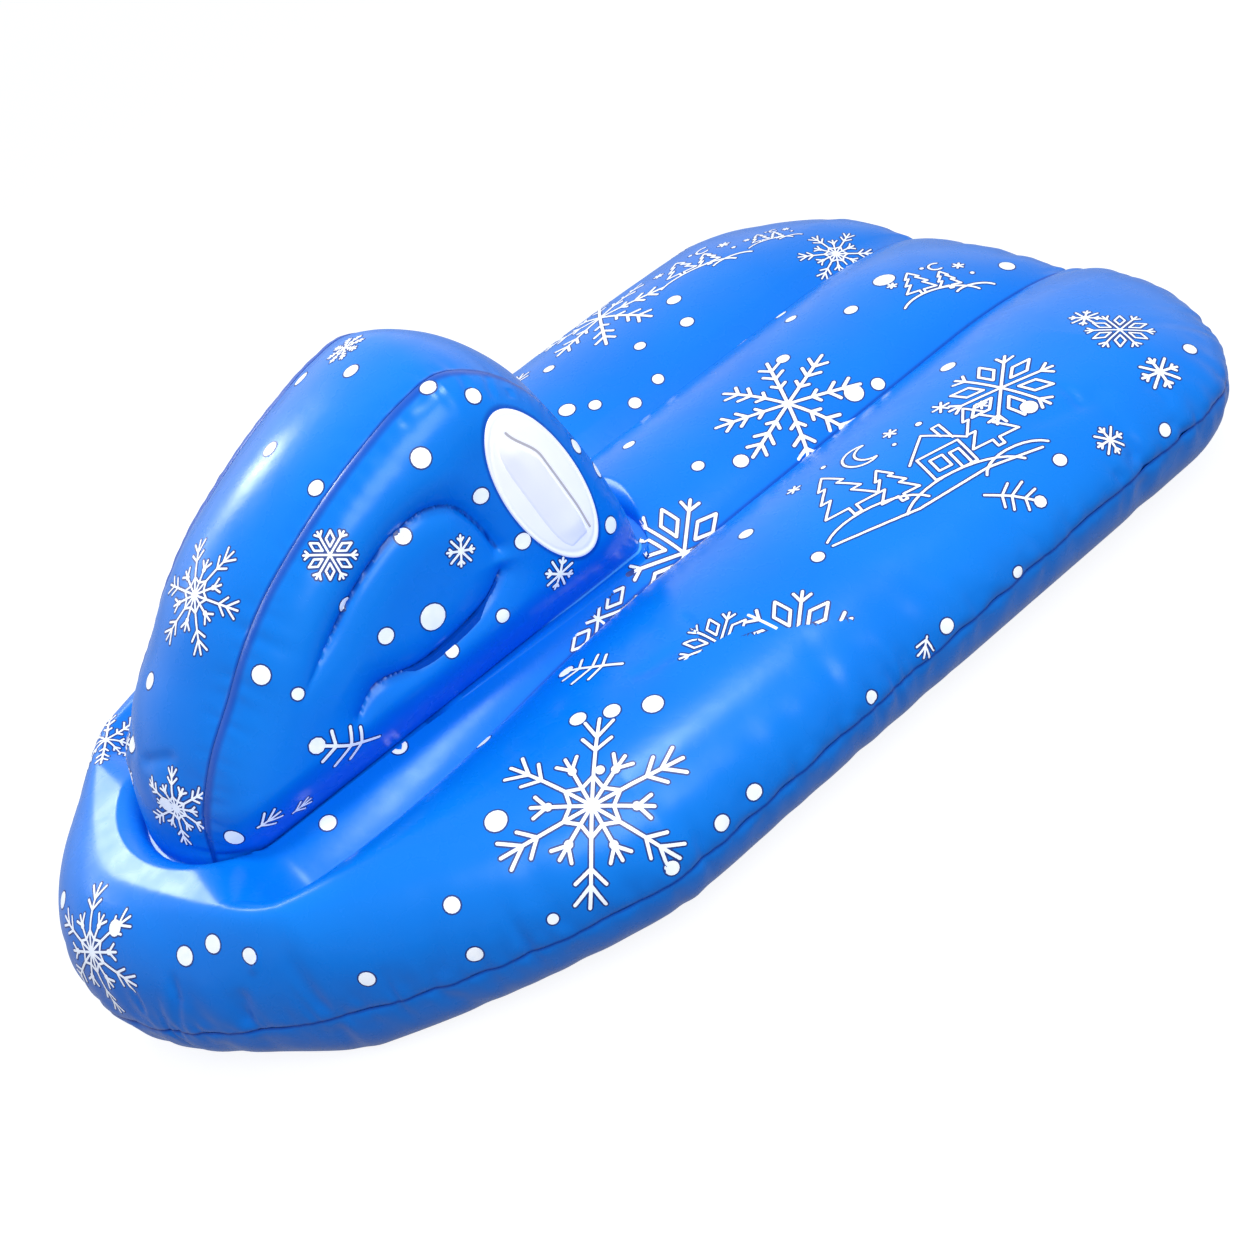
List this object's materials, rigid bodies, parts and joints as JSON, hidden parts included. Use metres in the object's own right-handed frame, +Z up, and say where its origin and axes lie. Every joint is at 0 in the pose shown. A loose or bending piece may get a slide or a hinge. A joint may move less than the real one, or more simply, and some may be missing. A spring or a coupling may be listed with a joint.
{
  "type": "inflatable sled",
  "caption": "Inflatable snow sled: a flat base of joined air tubes with a rounded nose, and a raised front cowl with a grab handle on each side and push-in air valves.",
  "frame": {"origin": "under the middle of the base, on the snow", "axes": "+Y towards the rear, so the nose points to -Y; +X to the rider's left; +Z up"},
  "size_m": [0.8008, 1.2, 0.4308],
  "materials": {
    "blue_vinyl": "gloss",
    "white_plate": "satin",
    "white_grip": "satin",
    "valve_plastic": "satin",
    "valve_flap": "matte"
  },
  "bodies": {
    "sled": {"base_top_skin": "blue_vinyl", "base_bottom_skin": "blue_vinyl", "base_wall_left": "blue_vinyl", "base_wall_right": "blue_vinyl", "cowl_side_left": "blue_vinyl", "cowl_side_right": "blue_vinyl", "cowl_strip": "blue_vinyl", "cowl_tie_upper": "blue_vinyl", "cowl_tie_lower": "blue_vinyl", "handle_patch_left": "white_plate", "handle_patch_right": "white_plate", "handle_grip_left": "white_grip", "handle_grip_right": "white_grip", "base_valve_collar": "valve_plastic", "cowl_valve_collar": "valve_plastic"},
    "base_valve_stem": {"base_valve_stem": "valve_plastic"},
    "base_valve_plug": {"base_valve_plug": "valve_plastic"},
    "base_valve_flap": {"base_valve_flap": "valve_flap"},
    "cowl_valve_stem": {"cowl_valve_stem": "valve_plastic"},
    "cowl_valve_plug": {"cowl_valve_plug": "valve_plastic"},
    "cowl_valve_flap": {"cowl_valve_flap": "valve_flap"}
  },
  "joints": [
    {"name": "base_valve_push", "type": "slide", "parent": "sled", "child": "base_valve_stem", "axis": [-0.8605, 0, 0.5095], "range_m": [0, 0.007]},
    {"name": "base_valve_plug_pull", "type": "slide", "parent": "base_valve_stem", "child": "base_valve_plug", "axis": [-0.8605, 0, 0.5095], "range_m": [0, 0.011]},
    {"name": "base_valve_flap_swing", "type": "hinge", "parent": "base_valve_stem", "child": "base_valve_flap", "pos_m": [-0.36734, 0.24, 0.11158], "axis": [0, -1, 0], "range_deg": [0, 60]},
    {"name": "cowl_valve_push", "type": "slide", "parent": "sled", "child": "cowl_valve_stem", "axis": [0, 0.9874, 0.1583], "range_m": [0, 0.007]},
    {"name": "cowl_valve_plug_pull", "type": "slide", "parent": "cowl_valve_stem", "child": "cowl_valve_plug", "axis": [0, 0.9874, 0.1583], "range_m": [0, 0.011]},
    {"name": "cowl_valve_flap_swing", "type": "hinge", "parent": "cowl_valve_stem", "child": "cowl_valve_flap", "pos_m": [0, 0.01474, 0.24383], "axis": [-1, 0, 0], "range_deg": [0, 60]}
  ]
}
